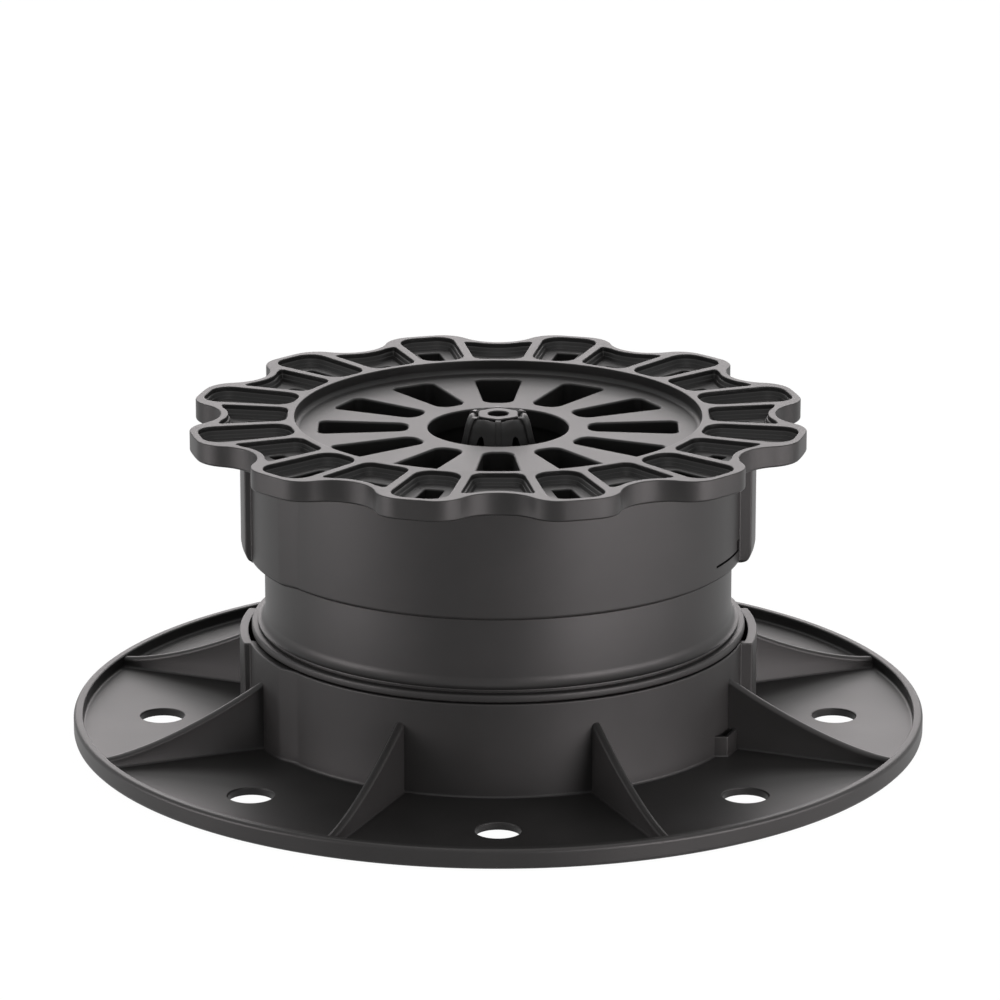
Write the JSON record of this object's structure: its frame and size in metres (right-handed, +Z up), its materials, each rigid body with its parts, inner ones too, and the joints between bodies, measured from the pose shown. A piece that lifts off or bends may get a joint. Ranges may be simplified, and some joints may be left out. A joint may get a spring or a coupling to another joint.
{
  "type": "decking pedestal",
  "caption": "Round height-adjustable decking support: slotted wavy head on a screw collar, turned by a ring on a wide ribbed base plate.",
  "frame": {"origin": "on the vertical axis, at the underside of the base plate", "axes": "+Z up along the screw axis; -Y is the front of the picture's view and +X its right"},
  "size_m": [0.2, 0.2, 0.0759],
  "materials": {
    "base_plastic": "satin moulded black polypropylene",
    "ring_plastic": "satin moulded black polypropylene",
    "head_plastic": "satin moulded black polypropylene"
  },
  "bodies": {
    "base": {"base_plate": "base_plastic"},
    "ring": {"adjusting_ring": "ring_plastic"},
    "head": {"head": "head_plastic"}
  },
  "joints": [
    {"name": "ring_turn", "type": "hinge", "parent": "base", "child": "ring", "pos_m": [0, 0, 0], "axis": [0, 0, 1], "range_deg": [-720, 720]},
    {"name": "head_lift", "type": "slide", "parent": "base", "child": "head", "axis": [0, 0, 1], "range_m": [-0.012, 0.012]}
  ],
  "couplings": [
    {"joint": "head_lift", "follows": "ring_turn", "m_per_rad": -0.00095493}
  ]
}
